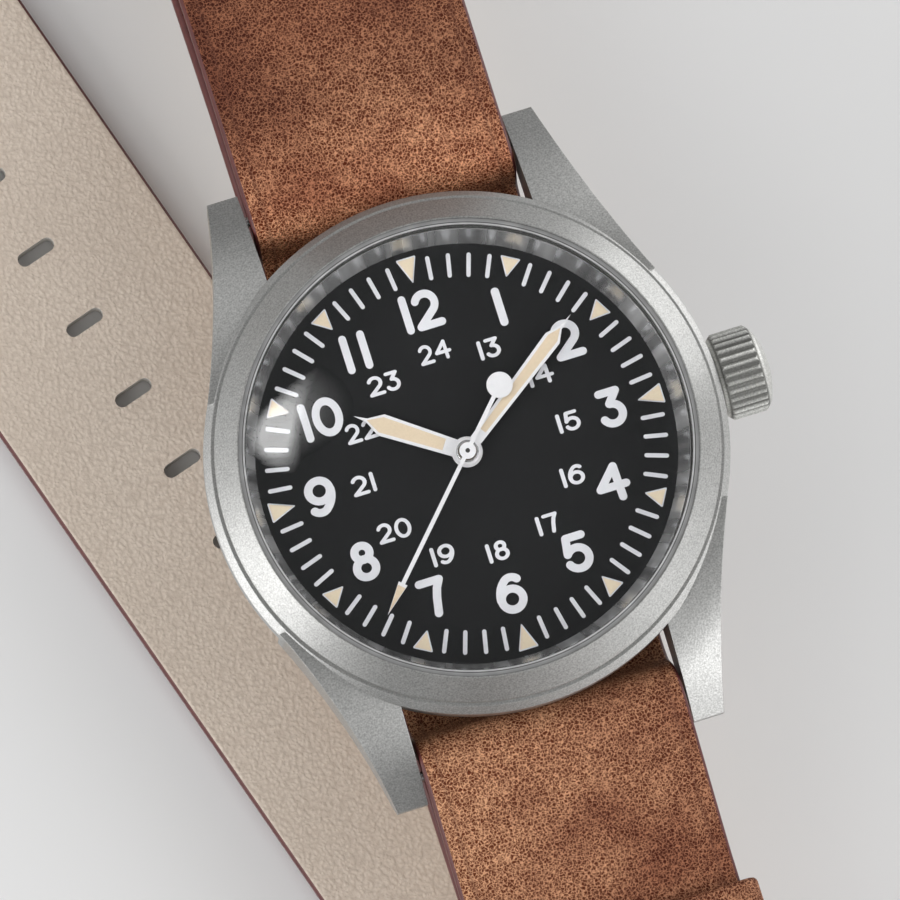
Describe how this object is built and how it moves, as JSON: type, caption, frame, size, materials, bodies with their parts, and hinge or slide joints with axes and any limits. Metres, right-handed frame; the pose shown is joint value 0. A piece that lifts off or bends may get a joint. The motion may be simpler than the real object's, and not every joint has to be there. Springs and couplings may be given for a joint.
{
  "type": "field watch",
  "caption": "Hand-wound field watch on a grained leather pull-through strap, with a black 12/24-hour dial, luminous hands and a steel pin buckle.",
  "frame": {"origin": "on the axis of the hands, at the underside of the strap layer that rests on the wrist", "axes": "+X towards the crown, +Y towards 12 o'clock, +Z out of the dial"},
  "size_m": [0.065, 0.1559, 0.0234],
  "materials": {
    "case_steel": "bead-blasted",
    "crown_steel": "satin",
    "crystal": "polished",
    "gasket": "matte",
    "rehaut_steel": "polished",
    "dial_black": "matte",
    "hand_white": "satin",
    "lume": "matte",
    "movement_plate": "rhodium-plated",
    "wheel_brass": "polished",
    "blued_steel": "blued",
    "ruby": "polished",
    "strap_leather": "grained",
    "buckle_steel": "bead-blasted"
  },
  "bodies": {
    "watch": {"mid_case": "case_steel", "case_back": "case_steel", "case_back_gasket": "gasket", "bezel": "case_steel", "crystal": "crystal", "crystal_gasket": "gasket", "rehaut_ring": "rehaut_steel", "dial": "dial_black", "crown_tube": "case_steel", "mainplate": "movement_plate", "movement_ring": "movement_plate", "barrel_bridge": "movement_plate", "train_bridge": "movement_plate", "balance_cock": "movement_plate", "jewels": "ruby", "movement_screws": "blued_steel", "spring_bar_upper": "buckle_steel", "spring_bar_lower": "buckle_steel", "strap_main": "strap_leather", "strap_short": "strap_leather", "keeper_lower": "strap_leather", "keeper_fixed": "strap_leather", "buckle_bar": "buckle_steel"},
    "minute_hand": {"minute_hand": "hand_white", "minute_lume": "lume", "cannon_pinion": "wheel_brass"},
    "hour_hand": {"hour_hand": "hand_white", "hour_lume": "lume", "hour_wheel": "wheel_brass"},
    "minute_wheel": {"minute_wheel": "wheel_brass"},
    "seconds_hand": {"seconds_hand": "hand_white", "fourth_wheel": "wheel_brass"},
    "third_wheel": {"third_wheel": "wheel_brass"},
    "centre_wheel": {"centre_wheel": "wheel_brass"},
    "barrel": {"barrel": "wheel_brass", "mainspring": "blued_steel"},
    "escape_wheel": {"escape_wheel": "wheel_brass"},
    "pallet_fork": {"pallet_fork": "blued_steel"},
    "balance": {"balance_wheel": "wheel_brass", "hairspring": "blued_steel"},
    "crown_slide": {"crown_gasket": "gasket"},
    "crown": {"crown": "crown_steel", "winding_stem": "crown_steel"},
    "winding_pinion": {"winding_pinion": "crown_steel"},
    "crown_wheel": {"crown_wheel": "blued_steel"},
    "ratchet": {"ratchet_wheel": "blued_steel", "barrel_arbor": "blued_steel"},
    "click": {"click": "blued_steel"},
    "keeper_free": {"keeper_free": "strap_leather"},
    "buckle_frame": {"buckle_frame": "buckle_steel"},
    "buckle_tongue": {"buckle_tongue": "buckle_steel"},
    "pin_upper_right": {"spring_pin_upper_right": "buckle_steel"},
    "pin_upper_left": {"spring_pin_upper_left": "buckle_steel"},
    "pin_lower_right": {"spring_pin_lower_right": "buckle_steel"},
    "pin_lower_left": {"spring_pin_lower_left": "buckle_steel"}
  },
  "joints": [
    {"name": "minute_hand_turn", "type": "hinge", "parent": "watch", "child": "minute_hand", "pos_m": [0, 0, 0.0093], "axis": [0, 0, 1], "continuous": true},
    {"name": "hour_hand_turn", "type": "hinge", "parent": "watch", "child": "hour_hand", "pos_m": [0, 0, 0.00885], "axis": [0, 0, 1], "continuous": true},
    {"name": "minute_wheel_turn", "type": "hinge", "parent": "watch", "child": "minute_wheel", "pos_m": [0.00186, -0.00222, 0.0071], "axis": [0, 0, 1], "continuous": true},
    {"name": "seconds_hand_turn", "type": "hinge", "parent": "watch", "child": "seconds_hand", "pos_m": [0, 0, 0.00975], "axis": [0, 0, 1], "continuous": true},
    {"name": "third_wheel_turn", "type": "hinge", "parent": "watch", "child": "third_wheel", "pos_m": [-0.00076, -0.00432, 0.00556], "axis": [0, 0, 1], "continuous": true},
    {"name": "centre_wheel_turn", "type": "hinge", "parent": "watch", "child": "centre_wheel", "pos_m": [0, 0, 0.0058], "axis": [0, 0, 1], "continuous": true},
    {"name": "barrel_turn", "type": "hinge", "parent": "watch", "child": "barrel", "pos_m": [0.00198, 0.00598, 0.00598], "axis": [0, 0, 1], "continuous": true},
    {"name": "escape_wheel_turn", "type": "hinge", "parent": "watch", "child": "escape_wheel", "pos_m": [-0.00413, -0.00111, 0.006], "axis": [0, 0, 1], "continuous": true},
    {"name": "pallet_swing", "type": "hinge", "parent": "watch", "child": "pallet_fork", "pos_m": [-0.00594, 0.00062, 0.006], "axis": [0, 0, 1], "range_deg": [-5, 5]},
    {"name": "balance_swing", "type": "hinge", "parent": "watch", "child": "balance", "pos_m": [-0.00775, 0.00234, 0.00535], "axis": [0, 0, 1], "range_deg": [-270, 270], "stiffness_Nm_per_rad": 0.0000004},
    {"name": "crown_pull", "type": "slide", "parent": "watch", "child": "crown_slide", "axis": [1, 0, 0], "range_m": [0, 0.001]},
    {"name": "crown_turn", "type": "hinge", "parent": "crown_slide", "child": "crown", "pos_m": [0.0191, 0, 0.00655], "axis": [1, 0, 0], "continuous": true},
    {"name": "winding_pinion_turn", "type": "hinge", "parent": "watch", "child": "winding_pinion", "pos_m": [0.01018, 0, 0.00655], "axis": [1, 0, 0], "continuous": true},
    {"name": "crown_wheel_turn", "type": "hinge", "parent": "watch", "child": "crown_wheel", "pos_m": [0.00705, 0, 0.005], "axis": [0, 0, 1], "continuous": true},
    {"name": "ratchet_turn", "type": "hinge", "parent": "watch", "child": "ratchet", "pos_m": [0.00198, 0.00598, 0.005], "axis": [0, 0, 1], "continuous": true},
    {"name": "click_lift", "type": "hinge", "parent": "watch", "child": "click", "pos_m": [-0.00262, 0.00864, 0.005], "axis": [0, 0, 1], "range_deg": [0, 12], "stiffness_Nm_per_rad": 0.00001, "springref_deg": -5.73},
    {"name": "keeper_slide", "type": "slide", "parent": "watch", "child": "keeper_free", "axis": [0, 1, 0], "range_m": [-0.004, 0.004]},
    {"name": "buckle_frame_hinge", "type": "hinge", "parent": "watch", "child": "buckle_frame", "pos_m": [0, 0.092, -0.0075], "axis": [1, 0, 0], "range_deg": [0, 60]},
    {"name": "buckle_tongue_hinge", "type": "hinge", "parent": "buckle_frame", "child": "buckle_tongue", "pos_m": [0, 0.092, -0.0075], "axis": [1, 0, 0], "range_deg": [0, 75]},
    {"name": "pin_upper_right_press", "type": "slide", "parent": "watch", "child": "pin_upper_right", "axis": [-1, 0, 0], "range_m": [0, 0.00115], "stiffness_N_per_m": 300, "springref_m": -0.0005},
    {"name": "pin_upper_left_press", "type": "slide", "parent": "watch", "child": "pin_upper_left", "axis": [1, 0, 0], "range_m": [0, 0.00115], "stiffness_N_per_m": 300, "springref_m": -0.0005},
    {"name": "pin_lower_right_press", "type": "slide", "parent": "watch", "child": "pin_lower_right", "axis": [-1, 0, 0], "range_m": [0, 0.00115], "stiffness_N_per_m": 300, "springref_m": -0.0005},
    {"name": "pin_lower_left_press", "type": "slide", "parent": "watch", "child": "pin_lower_left", "axis": [1, 0, 0], "range_m": [0, 0.00115], "stiffness_N_per_m": 300, "springref_m": -0.0005}
  ],
  "couplings": [
    {"joint": "hour_hand_turn", "follows": "minute_hand_turn", "ratio": 0.083333},
    {"joint": "minute_wheel_turn", "follows": "minute_hand_turn", "ratio": -0.33333},
    {"joint": "third_wheel_turn", "follows": "seconds_hand_turn", "ratio": -0.13333},
    {"joint": "centre_wheel_turn", "follows": "seconds_hand_turn", "ratio": 0.016667},
    {"joint": "barrel_turn", "follows": "seconds_hand_turn", "ratio": -0.0020833},
    {"joint": "escape_wheel_turn", "follows": "seconds_hand_turn", "ratio": -12},
    {"joint": "winding_pinion_turn", "follows": "crown_turn", "ratio": 1},
    {"joint": "crown_wheel_turn", "follows": "crown_turn", "ratio": 0.41176},
    {"joint": "ratchet_turn", "follows": "crown_turn", "ratio": -0.29167}
  ]
}
